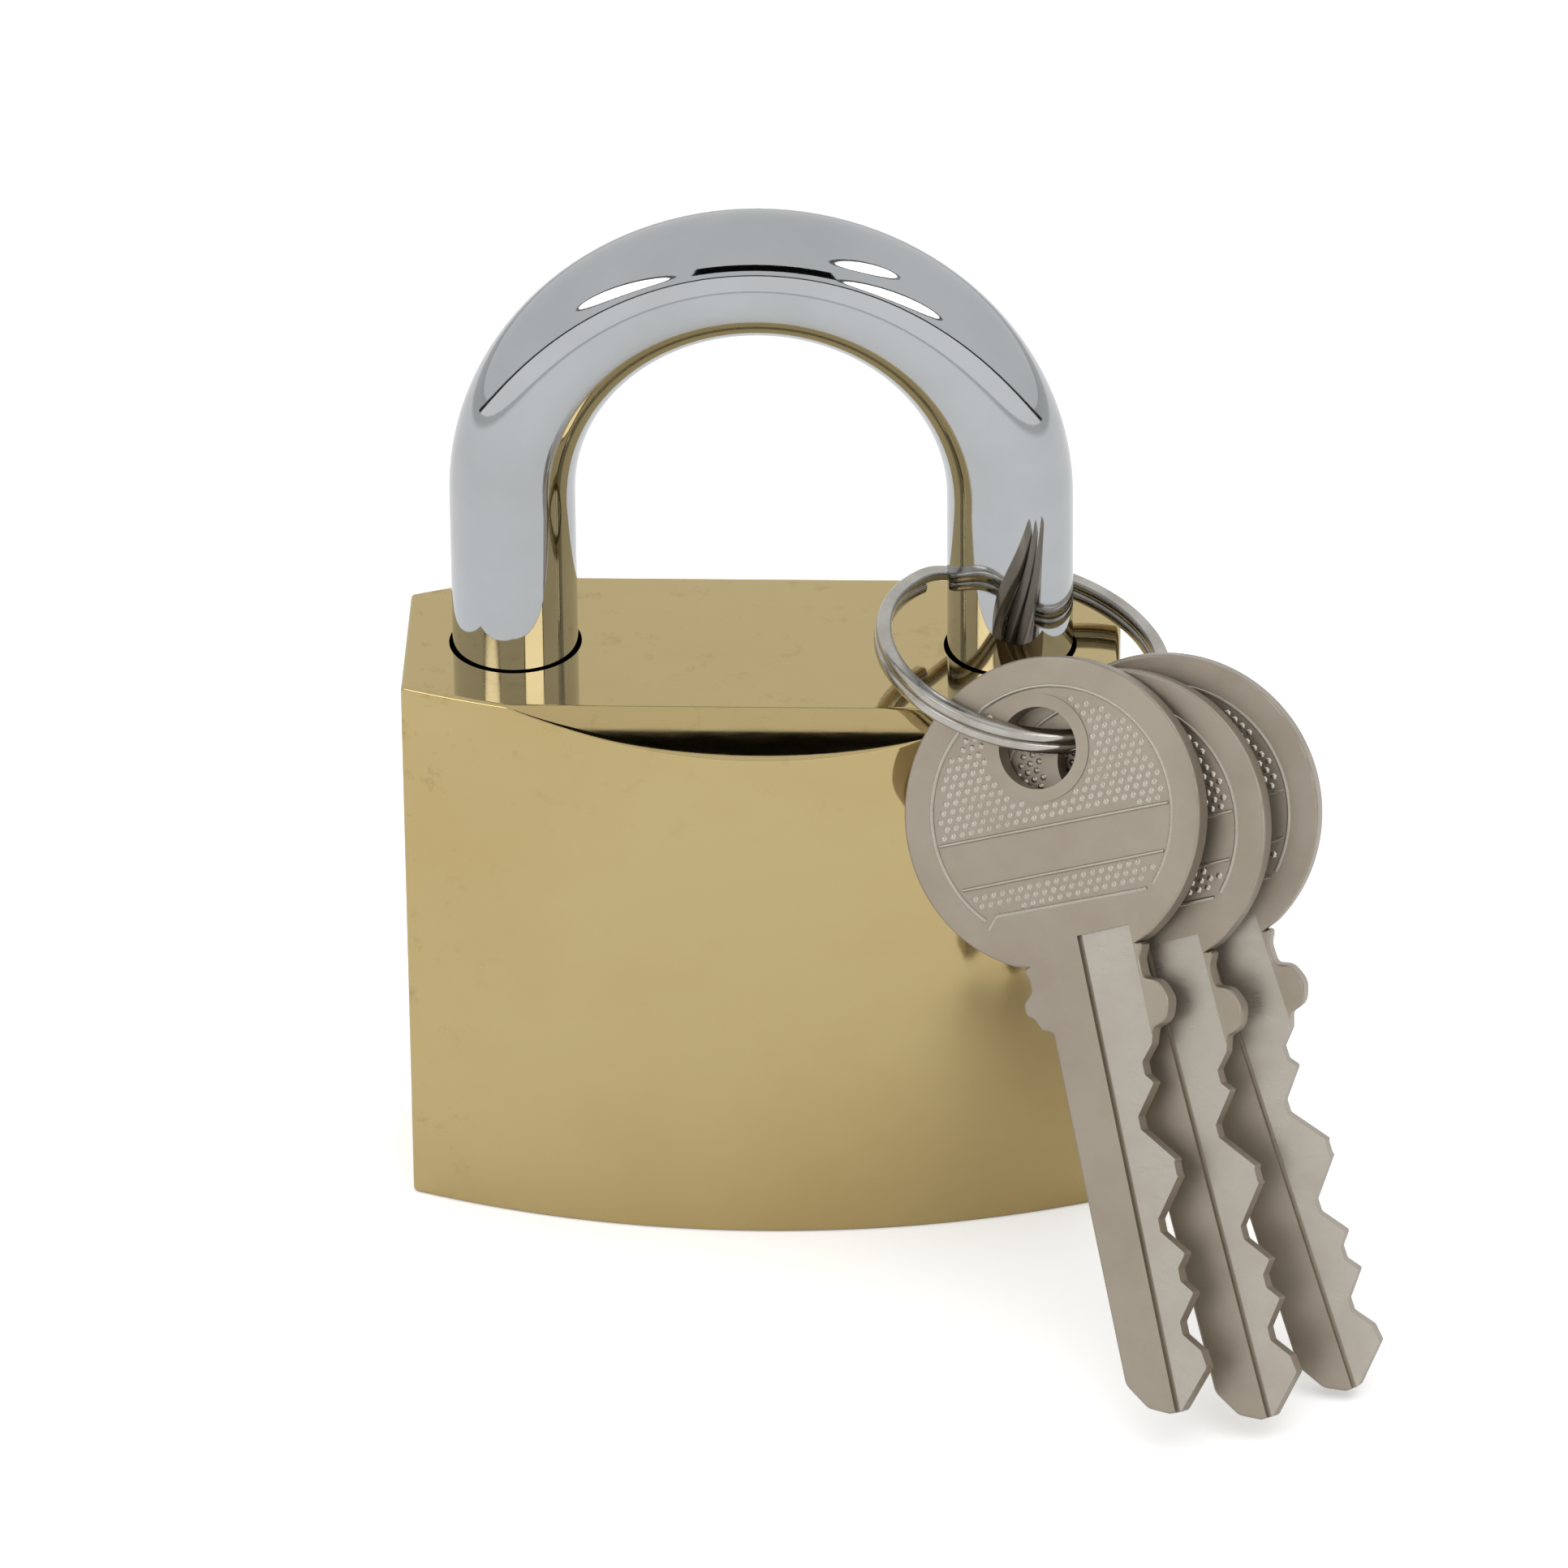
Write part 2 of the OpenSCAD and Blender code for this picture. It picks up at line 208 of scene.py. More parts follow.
def block(low, high):
    """A closed box, in millimetres, between two corners."""
    points = [(x, y, z) for z in (low[2], high[2]) for y in (low[1], high[1]) for x in (low[0], high[0])]
    faces = [[0, 2, 3, 1], [4, 5, 7, 6], [0, 1, 5, 4], [2, 6, 7, 3], [0, 4, 6, 2], [1, 3, 7, 5]]
    return mesh_object("block", metres(points), faces)


def prism(outline, low, high):
    """A closed slab over an outline in the XY plane, in millimetres."""
    count = len(outline)
    points = [(x, y, z) for z in (low, high) for x, y in outline]
    ring = list(range(count))
    faces = [ring[::-1], [count + k for k in ring]]
    faces += [[k, (k + 1) % count, count + (k + 1) % count, count + k] for k in ring]
    return mesh_object("prism", metres(points), faces)


def rounded(points, steps=5):
    """Corners (x, y, radius) as a polyline whose corners are arcs of those radii."""
    made = []
    count = len(points)
    for k, (x, y, radius) in enumerate(points):
        corner = Vector((x, y))
        before = Vector(points[k - 1][:2]) - corner
        after = Vector(points[(k + 1) % count][:2]) - corner
        if radius == 0:
            made.append((x, y))
            continue
        half = before.angle(after) / 2
        reach = min(radius / math.tan(half), 0.48 * before.length, 0.48 * after.length)
        start, end = corner + before.normalized() * reach, corner + after.normalized() * reach
        for i in range(steps + 1):
            t = i / steps
            point = start.lerp(corner, t).lerp(corner.lerp(end, t), t)
            made.append((point.x, point.y))
    return made


def inset(outline, amount):
    """The outline, given anticlockwise, moved inwards by the amount."""
    made = []
    count = len(outline)
    for k in range(count):
        back = Vector(outline[k]) - Vector(outline[k - 1])
        ahead = Vector(outline[(k + 1) % count]) - Vector(outline[k])
        normal = (back.normalized() + ahead.normalized()).normalized()
        stretch = 1 / max(0.5, normal.dot(ahead.normalized()))
        x, y = outline[k]
        made.append((x - normal.y * amount * stretch, y + normal.x * amount * stretch))
    return made


def softened_slab(name, outline, half, radius, steps=3):
    """A slab over an anticlockwise outline, from -half to half, with rounded edges."""
    levels = []
    for k in range(steps + 1):
        a = math.pi / 2 * k / steps
        levels.append((-half + radius * (1 - math.sin(a)), radius * (1 - math.cos(a))))
    levels = levels[::-1] + [(-z, step) for z, step in levels]
    points = []
    for z, step in levels:
        points += [(x, y, z) for x, y in inset(outline, step)]
    return mesh_object(name, metres(points), tube_faces(len(levels), len(outline)))


def weigh_normals(piece):
    """Large flat faces keep their own normals next to small rounded edges."""
    step = piece.modifiers.new("normals", "WEIGHTED_NORMAL")
    step.keep_sharp = True
    step.weight = 80


# ---------------------------------------------------------------- body

def body_columns():
    """Places round the body: (x, y, outward normal), anticlockwise from above."""
    side_y = math.sqrt(FACE_R ** 2 - BODY_HALF ** 2) - FACE_Y
    lean = math.asin(BODY_HALF / FACE_R)
    turn = math.pi / 2 - lean
    reach = EDGE_R * math.tan(turn / 2)
    half_angle = math.asin((BODY_HALF - reach * math.cos(lean)) / FACE_R)
    arc = []
    for k in range(-64, 65):
        a = half_angle * k / 64
        arc.append((FACE_R * math.sin(a), FACE_Y - FACE_R * math.cos(a), (math.sin(a), -math.cos(a))))
    corner_x, corner_y = BODY_HALF - EDGE_R, -side_y + reach
    corner = []
    for k in range(1, 5):
        a = -math.pi / 2 + lean + turn * k / 4
        corner.append((corner_x + EDGE_R * math.cos(a), corner_y + EDGE_R * math.sin(a),
                       (math.cos(a), math.sin(a))))
    quarter = arc + corner
    mirrored = [(x, -y, (n[0], -n[1])) for x, y, n in corner[::-1]]
    front = quarter + mirrored
    back = [(-x, -y, (-n[0], -n[1])) for x, y, n in arc + corner]
    back_mirrored = [(-x, y, (-n[0], n[1])) for x, y, n in corner[::-1]]
    return front + back + back_mirrored


def facet_out(depth):
    """How far the facet stands out from its upper line, this deep below the top face."""
    return depth * FACET_D / FACET_H + FACET_SWELL * depth * (FACET_H - depth)


def facet_lean(depth):
    """Angle of the facet's normal above level, this deep below the top face."""
    return math.atan(FACET_D / FACET_H + FACET_SWELL * (FACET_H - 2 * depth))


def body_profile(x, y, normal):
    """One column's points from the underside up to the top face, with its facet."""
    r = EDGE_R
    beyond = abs(y) - FACET_Y
    top_round = r * math.tan(math.pi / 4 - facet_lean(0) / 2)
    faceted = beyond > r - top_round and abs(x) < BODY_HALF - 1
    inward = (0, -math.copysign(1, y)) if faceted else (-normal[0], -normal[1])
    low_centre, high_centre = (r, BODY_H - r), (r, BODY_H - r)
    depth = 0
    if faceted:
        while facet_out(depth) < beyond:
            depth += FACET_STEP
        low_centre = (r, BODY_H - depth - r * math.tan(facet_lean(depth) / 2))
        high_centre = (beyond + top_round, BODY_H - r)

    steps = [(r * (1 - math.sin(a)), r * (1 - math.cos(a))) for a in (math.pi / 2 * k / 3 for k in range(4))]
    for k in range(4):
        a = facet_lean(depth) * k / 3
        steps.append((low_centre[0] - r * math.cos(a), low_centre[1] + r * math.sin(a)))
    first = steps[-1]
    a = facet_lean(0)
    last = (high_centre[0] - r * math.cos(a), high_centre[1] + r * math.sin(a))
    for k in range(1, 7):
        z = first[1] + (last[1] - first[1]) * k / 7
        out = beyond - facet_out(BODY_H - z) if faceted else first[0] + (last[0] - first[0]) * k / 7
        steps.append((out, z))
    for k in range(5):
        a = facet_lean(0) + (math.pi / 2 - facet_lean(0)) * k / 4
        steps.append((high_centre[0] - r * math.cos(a), high_centre[1] + r * math.sin(a)))
    return [(x + inward[0] * step, y + inward[1] * step, z) for step, z in steps]


def build_body(material):
    columns = [body_profile(*column) for column in body_columns()]
    rows, count = len(columns[0]), len(columns)
    points = [columns[j][i] for i in range(rows) for j in range(count)]
    body = mesh_object("body_shell", metres(points), tube_faces(rows, count))
    clean(body)
    cut(body, rod("Z", HEEL_FLOOR, BODY_H + PAST, BORE_R, 96, (-LEG_X, 0)))
    cut(body, rod("Z", TOE_FLOOR, BODY_H + PAST, BORE_R, 96, (LEG_X, 0)))
    plug_bore = [(-PAST, PLUG_BORE_R), (CAM_TOP, PLUG_BORE_R), (CAM_TOP, WELL_R), (LATCH_Z, WELL_R)]
    cut(body, turned("Z", plug_bore, 96))
    cut(body, rod("X", -LEG_X, BODY_HALF + PAST, LATCH_BORE_R + 0.01, 64, (0, LATCH_Z)))
    seat = BODY_HALF - CHAMBER_PLUG_LEN
    chamber = [(PLUG_BORE_R - PAST, CHAMBER_R), (seat, CHAMBER_R), (seat, CHAMBER_PLUG_R),
               (BODY_HALF + PAST, CHAMBER_PLUG_R)]
    for k in range(PINS):
        cut(body, turned("X", chamber, 40, (0, PIN_FIRST + k * PIN_PITCH)))
    for x, z, radius, reach in RETAINING_HOLES:
        cut(body, rod("Y", reach, BODY_DEEP + PAST, radius, 40, (x, z)))
    clean(body, 1e-6)
    shade(body, 32)
    weigh_normals(body)
    return finish_piece(body, "lock", material, "body_brass", "lock_body")


# ---------------------------------------------------------------- shackle

def build_shackle(material):
    """One rod from the toe to the heel, through circles set square to its middle line."""
    stations = [(LEG_X, TOE_END, 0, ROD_R - 1), (LEG_X, TOE_END + 0.4, 0, ROD_R - 0.4),
                (LEG_X, TOE_END + 1, 0, ROD_R - 0.08), (LEG_X, TOE_END + 1.4, 0, ROD_R),
                (LEG_X, 42, 0, ROD_R)]
    for k in range(65):
        a = math.pi * k / 64
        stations.append((LEG_X * math.cos(a), ARCH_Z + LEG_X * math.sin(a), a, ROD_R))
    heel = [(42, ROD_R), (NECK_TOP + 0.2, ROD_R), (NECK_TOP, ROD_R - 0.2), (NECK_TOP, NECK_R + 0.2),
            (NECK_TOP - 0.2, NECK_R), (COLLAR_TOP, NECK_R), (COLLAR_TOP, ROD_R - 0.3),
            (COLLAR_TOP - 0.2, ROD_R), (HEEL_END + 0.5, ROD_R), (HEEL_END, ROD_R - 0.5)]
    stations += [(-LEG_X, z, math.pi, radius) for z, radius in heel]
    sides = 72
    points = []
    for x, z, a, radius in stations:
        for k in range(sides):
            b = 2 * math.pi * k / sides
            out = radius * math.cos(b)
            points.append((x + out * math.cos(a), radius * math.sin(b), z + out * math.sin(a)))
    shackle = mesh_object("shackle_rod", metres(points), tube_faces(len(stations), sides))
    for side in (-1, 1):
        near, far = side * (LEG_X - ROD_R - 1), side * (LEG_X - ROD_R + NOTCH_DEEP)
        cut(shackle, block((min(near, far), -ROD_R - 1, LATCH_Z - NOTCH_H / 2),
                           (max(near, far), ROD_R + 1, LATCH_Z + NOTCH_H / 2)))
    shade(shackle, 35)
    return finish_piece(shackle, "shackle", material, "shackle_chrome", "shackle")


# ---------------------------------------------------------------- split ring

def ring_matrix():
    tilt = [math.radians(a) for a in RING_TILT]
    turn = Matrix.Rotation(tilt[2], 4, "Z") @ Matrix.Rotation(tilt[1], 4, "Y")
    turn = turn @ Matrix.Rotation(tilt[0], 4, "X")
    return Matrix.Translation(Vector(RING_AT) * MM) @ turn


def build_ring(material):
    """Two turns of flattened wire side by side, with a step from one to the other."""
    jog, gap, start = math.radians(26), math.radians(3), math.radians(138)
    total = 4 * math.pi - jog - 2 * gap
    steps = 260
    middle = RING_R - WIRE_R / 2
    section = rounded([(-WIRE_R / 2, -WIRE_W / 2, 0.3), (WIRE_R / 2, -WIRE_W / 2, 0.3),
                       (WIRE_R / 2, WIRE_W / 2, 0.3), (-WIRE_R / 2, WIRE_W / 2, 0.3)], 3)
    points = []
    for k in range(steps + 1):
        a = total * k / steps
        t = min(1, max(0, (a - (2 * math.pi - jog)) / jog))
        level = WIRE_W * (t * t * (3 - 2 * t) - 0.5)
        for out, up in section:
            r = middle + out
            points.append((r * math.cos(start + a), r * math.sin(start + a), level + up))
    ring = mesh_object("key_ring", metres(points), tube_faces(steps + 1, len(section)), 50)
    ring.data.transform(ring_matrix())
    return finish_piece(ring, "split_ring", material, "ring_nickel", "split_ring")


# ---------------------------------------------------------------- keys

def key_matrix(index):
    """Where a key lies: its hole on the ring, then its turn, lean and fan."""
    lean, turn, fan = (math.radians(a) for a in (-KEY_LEANS[index], KEY_TURNS[index], -KEY_FANS[index]))
    place = Matrix.Translation(Vector(KEY_HOLES[index]) * MM)
    place = place @ Matrix.Rotation(turn, 4, "Z") @ Matrix.Rotation(lean, 4, "X")
    place = place @ Matrix.Rotation(fan, 4, "Y") @ Matrix.Rotation(math.radians(90), 4, "X")
    return place @ Matrix.Diagonal((1, -1, 1, 1)) @ Matrix.Translation((0, HOLE_UP * MM, 0))


def bitting():
    """The cut edge from the bow to the tip: a flat in each cut and a peak after it."""
    points = []
    for k, depth in enumerate(CUTS):
        u = BLADE_TOP + PIN_FIRST + k * PIN_PITCH
        after = CUTS[min(k + 1, PINS - 1)]
        peak_u = u + PIN_PITCH / 2 + (after - depth) / (2 * CUT_SLOPE)
        peak = (depth + after) / 2 + CUT_SLOPE * (PIN_PITCH / 2 - CUT_HALF)
        points += [(depth, u - CUT_HALF), (depth, u + CUT_HALF), (min(peak, BLADE_HIGH), peak_u)]
    return points


def key_outline():
    """Anticlockwise outline: X across the key, Y from the middle of the bow to the tip."""
    tip = KEY_LEN
    right = [(4.75, 9.95, 0.9), (4.15, 11.0, 1.2), (4.15, 12.4, 0.5), (5.2, 12.75, 1.1), (5.75, 14.2, 1.4),
             (5.2, 15.65, 1.1), (4.1, 15.95, 0.4), (3.75, 17.0, 0.3)]
    cuts = [(x, y, 0.22) for x, y in bitting()]
    left = [(2.9, tip - 2.6, 0.3), (0.45, tip - 0.05, 0.5), (-0.45, tip - 0.02, 0.4), (-1.9, tip - 0.7, 1.0),
            (BLADE_LOW, tip - 2.6, 1.2), (BLADE_LOW, 14.8, 0.3), (-3.95, 14.4, 0.3), (-4.35, 13.55, 0.3),
            (-4.85, 13.2, 0.5), (-4.85, 12.35, 0.5), (-4.1, 11.7, 0.6), (-4.1, 10.9, 0.8),
            (-4.45, 9.98, 0.8)]
    start, end = math.atan2(9.98, -4.45), math.atan2(9.95, 4.75) + 2 * math.pi
    bow = []
    for k in range(1, 128):
        a = start + (end - start) * k / 128
        bow.append((BOW_R * math.cos(a), BOW_R * math.sin(a)))
    neck = rounded(right + cuts + left, 3)
    # The neck starts and ends close to the bow's circle, and the bow's arc closes the loop
    return neck + bow


def ridge(points, width, low, high, closed=False):
    """A raised line with sloping sides along a path, in millimetres; it stands on level low."""
    made = []
    count = len(points)
    for k in range(count):
        back = Vector(points[k - 1] if k or closed else points[0])
        ahead = Vector(points[(k + 1) % count] if k < count - 1 or closed else points[-1])
        along = (ahead - back).normalized()
        side = Vector((-along.y, along.x))
        x, y = points[k]
        for across, z in ((-width / 2, low), (-width / 5, high), (width / 5, high), (width / 2, low)):
            made.append((x + side.x * across, y + side.y * across, z))
    faces = grid_faces(count, 4, closed, True)
    if not closed:
        faces += [[3, 2, 1, 0], [(count - 1) * 4 + k for k in range(4)]]
    return mesh_object("ridge", metres(made), faces, 30)


def dots(places, radius, low, high):
    """Small raised domes at each place, in millimetres."""
    points, faces = [], []
    for x, y in places:
        first = len(points)
        for share, level in ((1, 0), (0.68, 0.65), (0.28, 1)):
            for k in range(6):
                a = math.pi * k / 3
                points.append((x + radius * share * math.cos(a), y + radius * share * math.sin(a),
                               low + (high - low) * level))
        faces += [[first + k for k in range(6)][::-1], [first + 12 + k for k in range(6)]]
        for row in (0, 6):
            faces += [[first + row + k, first + row + (k + 1) % 6,
                       first + row + 6 + (k + 1) % 6, first + row + 6 + k] for k in range(6)]
    return mesh_object("dots", metres(points), faces, 60)


FIELD_R, BOSS_R, SUNK = 8.75, 3.75, 0.1
FLAT_TOP, FLAT_LEFT, FLAT_RIGHT, FLAT_DEEP = 8.6, 0.2, 3.95, 0.2
GROOVE_LEFT, GROOVE_RIGHT, GROOVE_DEEP = 0.05, 0.35, 0.45
# The raised circle round the field stops at this level towards the blade
CIRCLE_END = 6.3
LOW_LINE = ((-5.6, 6.0), (5.9, 6.45))
LINE_LEFT, LINE_RIGHT = (0.45, 1.05), (3.75, 4.25)


def line_level(ends, x):
    """Height along the key of a slanted line across the bow that has these two ends."""
    return ends[0] + (ends[1] - ends[0]) * (x + FIELD_R) / (2 * FIELD_R)


def field_outline():
    """The sunk field of the bow: a disc cut off by the lower line."""
    (x1, y1), (x2, y2) = LOW_LINE
    start, end = math.atan2(y1 + 0.4, x1 - 0.9), math.atan2(y2 + 0.2, x2) + 2 * math.pi
    arc = []
    for k in range(97):
        a = start + (end - start) * k / 96
        arc.append((FIELD_R * math.cos(a), FIELD_R * math.sin(a)))
    return arc + [(x2 - 0.3, y2), (x1, y1)]


def knurl_places():
    """Places of the raised dots: staggered rows over the field, off its plain parts."""
    places = []
    pitch = 0.68
    for row in range(-15, 15):
        for column in range(-15, 15):
            x = pitch * (column + 0.5 * (row % 2))
            y = pitch * 0.84 * row
            inside = math.hypot(x, y) < FIELD_R - 0.45
            off_boss = math.hypot(x, y + HOLE_UP) > BOSS_R + 0.3
            upper = y < line_level(LINE_LEFT, x) - 0.4
            lower = line_level(LINE_RIGHT, x) + 0.4 < y < 5.85 + 0.04 * x
            if inside and off_boss and (upper or lower):
                places.append((x, y))
    return places


def bow_relief(side):
    """Raised lines and dots of one face; side is 1 or -1."""
    face, floor = KEY_HALF * side, (KEY_HALF - SUNK) * side
    sink = 0.05 * side
    made = [dots(knurl_places(), 0.27, floor - 0.02 * side, face - 0.015 * side)]
    circle = []
    for k in range(97):
        a = 2 * math.pi * k / 96
        circle.append(((FIELD_R + 0.12) * math.cos(a), (FIELD_R + 0.12) * math.sin(a)))
    first = next(k for k in range(96) if circle[k][1] >= CIRCLE_END)
    kept = [p for p in circle[first + 1:96] + circle[:first] if p[1] < CIRCLE_END]
    made.append(ridge(kept, 0.3, face - sink, face + 0.05 * side))
    for ends in (LINE_LEFT, LINE_RIGHT):
        x = 0.985 * math.sqrt(FIELD_R ** 2 - max(ends) ** 2)
        line = [(-x, line_level(ends, -x)), (x, line_level(ends, x))]
        made.append(ridge(line, 0.3, floor - 0.02 * side, face + 0.02 * side))
    made.append(ridge([(-6.25, 6.85), (-5.45, 6.05), (5.75, 6.5)], 0.32, face - sink, face + 0.04 * side))
    for part in made:
        # The raised dots and lines take slot 2, the brighter nickel whose colour is painted highlight
        part.data.polygons.foreach_set("material_index", [2] * len(part.data.polygons))
    return made


def build_key(index, satin, milled, raised):
    key = softened_slab("blank", key_outline(), KEY_HALF, 0.2)
    cut(key, rod("Z", -2, 2, HOLE_R, 64, (0, -HOLE_UP)))
    for side in (-1, 1):
        field = prism(field_outline(), *sorted((side * (KEY_HALF - SUNK), side * 2)))
        cut(field, rod("Z", -3, 3, BOSS_R, 64, (0, -HOLE_UP)))
        flat_low, flat_high = sorted((side * (KEY_HALF - FLAT_DEEP), side * 2))
        slot_low, slot_high = sorted((side * (KEY_HALF - GROOVE_DEEP), side * 2))
        flat = block((FLAT_LEFT, FLAT_TOP, flat_low), (FLAT_RIGHT, KEY_LEN + PAST, flat_high))
        groove = block((GROOVE_LEFT, FLAT_TOP, slot_low), (GROOVE_RIGHT, KEY_LEN + PAST, slot_high))
        cut(key, field, flat, groove)
    shade(key, 30)
    key = join("house_key_%d" % (index + 1), key, *bow_relief(1), *bow_relief(-1))
    # The third material is the brighter nickel, painted highlight on the raised dots and lines
    for material in (satin, milled, raised):
        key.data.materials.append(material)
    for face in key.data.polygons:
        x, y, z = (v / MM for v in face.center)
        on_flat = abs(abs(z) - (KEY_HALF - FLAT_DEEP)) < 0.01
        if GROOVE_RIGHT < x < 5 and y > FLAT_TOP and on_flat:
            face.material_index = 1
    key.data.transform(key_matrix(index))
    bm = bmesh.new()
    bm.from_mesh(key.data)
    bmesh.ops.recalc_face_normals(bm, faces=bm.faces)
    bm.to_mesh(key.data)
    bm.free()
    shade(key, 30)
    weigh_normals(key)
    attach(key, "key_%d" % (index + 1))
    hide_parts("key_%d" % (index + 1))
    return key


# ---------------------------------------------------------------- materials

def new_material(name, metallic):
    material = bpy.data.materials.new(name)
    material.use_nodes = True
    shader = material.node_tree.nodes["Principled BSDF"]
    shader.inputs["Metallic"].default_value = metallic
    return material, material.node_tree, shader


def add_noise(tree, scale, detail=3.0, rough=0.55, stretch=(1, 1, 1)):
    """Noise over the object's own metres; scale is in features per metre."""
    place = tree.nodes.new("ShaderNodeTexCoord")
    mapping = tree.nodes.new("ShaderNodeMapping")
    mapping.inputs["Scale"].default_value = stretch
    noise = tree.nodes.new("ShaderNodeTexNoise")
    noise.inputs["Scale"].default_value = scale
    noise.inputs["Detail"].default_value = detail
    noise.inputs["Roughness"].default_value = rough
    tree.links.new(place.outputs["Object"], mapping.inputs["Vector"])
    tree.links.new(mapping.outputs["Vector"], noise.inputs["Vector"])
    return noise.outputs["Fac"]


def ramp(tree, source, stops):
    """Colour ramp through (position, grey) stops."""
    made = tree.nodes.new("ShaderNodeValToRGB")
    while len(made.color_ramp.elements) < len(stops):
        made.color_ramp.elements.new(0.5)
    for element, (position, grey) in zip(made.color_ramp.elements, stops):
        element.position = position
        element.color = (grey, grey, grey, 1)
    tree.links.new(source, made.inputs["Fac"])
    return made.outputs["Color"]


def mix_colour(tree, factor, one, two, blend="MIX"):
    mix = tree.nodes.new("ShaderNodeMix")
    mix.data_type = "RGBA"
    mix.blend_type = blend
    for socket, value in ((mix.inputs[0], factor), (mix.inputs[6], one), (mix.inputs[7], two)):
        if isinstance(value, float):
            socket.default_value = value
        elif isinstance(value, tuple):
            socket.default_value = (*value, 1)
        else:
            tree.links.new(value, socket)
    return mix.outputs[2]


def add_bump(tree, shader, heights, strength, distance):
    """Chains a bump for each height onto the shader's normal."""
    normal = None
    for height in heights:
        node = tree.nodes.new("ShaderNodeBump")
        node.inputs["Strength"].default_value = strength
        node.inputs["Distance"].default_value = distance
        tree.links.new(height, node.inputs["Height"])
        if normal is not None:
            tree.links.new(normal, node.inputs["Normal"])
        normal = node.outputs["Normal"]
    tree.links.new(normal, shader.inputs["Normal"])


def metal(name, colour, dull, rough, patch=90, grain=2500, bump=0.02, wipe=(1, 1, 14), spots=0.3,
          metallic=1.0):
    """Metal with cloudy dulling, specks, fine wiping marks and a faint unevenness."""
    material, tree, shader = new_material(name, metallic)
    clouds = add_noise(tree, patch, 5.0, 0.6)
    fine = add_noise(tree, grain, 3.0, 0.6)
    wipes = add_noise(tree, grain * 0.35, 2.0, 0.5, wipe)
    tint = mix_colour(tree, ramp(tree, clouds, [(0.42, 0.0), (0.7, 1.0)]), colour, dull)
    speck = mix_colour(tree, ramp(tree, fine, [(0.60, 0.0), (0.80, spots)]), tint, dull)
    tree.links.new(speck, shader.inputs["Base Color"])
    mixed = mix_colour(tree, 0.5, clouds, wipes)
    tree.links.new(ramp(tree, mixed, [(0.35, rough[0]), (0.7, rough[1])]), shader.inputs["Roughness"])
    add_bump(tree, shader, [wipes, fine], bump, 0.00002)
    return material, tree, shader, speck


def body_brass():
    """Polished brass, browned in specks near the sides and the upper edge."""
    material, tree, shader, tint = metal("polished_brass", (0.56, 0.44, 0.215), (0.53, 0.40, 0.185),
                                         (0.04, 0.09), patch=45, grain=900, bump=0.01, wipe=(1, 1, 9))
    place = tree.nodes.new("ShaderNodeTexCoord")
    split = tree.nodes.new("ShaderNodeSeparateXYZ")
    tree.links.new(place.outputs["Object"], split.inputs["Vector"])
    side = tree.nodes.new("ShaderNodeMapRange")
    side.inputs["From Min"].default_value = -0.017
    side.inputs["From Max"].default_value = -0.0255
    tree.links.new(split.outputs["X"], side.inputs["Value"])
    top = tree.nodes.new("ShaderNodeMapRange")
    top.inputs["From Min"].default_value = 0.030
    top.inputs["From Max"].default_value = 0.039
    tree.links.new(split.outputs["Z"], top.inputs["Value"])
    either = mix_colour(tree, 0.75, side.outputs["Result"], top.outputs["Result"], "ADD")
    blotch = ramp(tree, add_noise(tree, 420, 6.0, 0.72), [(0.57, 0.0), (0.72, 1.0)])
    where = mix_colour(tree, 1.0, either, blotch, "MULTIPLY")
    where = mix_colour(tree, 1.0, where, (0.4, 0.4, 0.4), "MULTIPLY")
    browned = mix_colour(tree, where, tint, (0.27, 0.16, 0.06))
    tree.links.new(browned, shader.inputs["Base Color"])
    return material


def plain_metal(*settings, **more):
    return metal(*settings, **more)[0]


# ---------------------------------------------------------------- the object

KEY_METALLIC = 0.85

brass = body_brass()
chrome = plain_metal("chrome", (0.50, 0.515, 0.53), (0.44, 0.45, 0.46), (0.03, 0.06), patch=60,
                     grain=1500, bump=0.006, spots=0.15)
ring_nickel = plain_metal("ring_nickel", (0.52, 0.50, 0.46), (0.40, 0.37, 0.33), (0.12, 0.24), patch=300,
                          grain=2600, bump=0.03)
satin_nickel = plain_metal("satin_nickel", (0.375, 0.325, 0.265), (0.335, 0.285, 0.225), (0.34, 0.44),
                           patch=160, grain=3200, bump=0.08, wipe=(1, 1, 1), metallic=KEY_METALLIC)
milled_nickel = plain_metal("milled_nickel", (0.49, 0.45, 0.39), (0.45, 0.40, 0.335), (0.26, 0.36),
                            patch=260, grain=2600, bump=0.02, wipe=(1, 1, 6), spots=0.15,
                            metallic=KEY_METALLIC)
# Painted highlight: a brighter copy of the key nickel for the raised dots and lines, standing in for their
# glints; only its lower roughness is its own
raised_nickel = plain_metal("raised_nickel", (0.54, 0.49, 0.42), (0.47, 0.42, 0.35), (0.2, 0.3), patch=260,
                            grain=2600, bump=0.02, spots=0.1, metallic=KEY_METALLIC)
turned_brass = plain_metal("turned_brass", (0.54, 0.40, 0.19), (0.44, 0.31, 0.13), (0.2, 0.34), patch=200,
                           grain=2400, bump=0.06, wipe=(1, 1, 8))
bright_steel = plain_metal("bright_steel", (0.50, 0.50, 0.50), (0.38, 0.37, 0.36), (0.2, 0.32), patch=200,
                           grain=2400, bump=0.06, wipe=(1, 1, 8))
spring_steel = plain_metal("spring_steel", (0.40, 0.41, 0.43), (0.26, 0.27, 0.29), (0.22, 0.36), patch=400,
                           grain=3000, bump=0.06)

build_body(brass)
build_shackle(chrome)
build_ring(ring_nickel)
for number in range(3):
    build_key(number, satin_nickel, milled_nickel, raised_nickel)

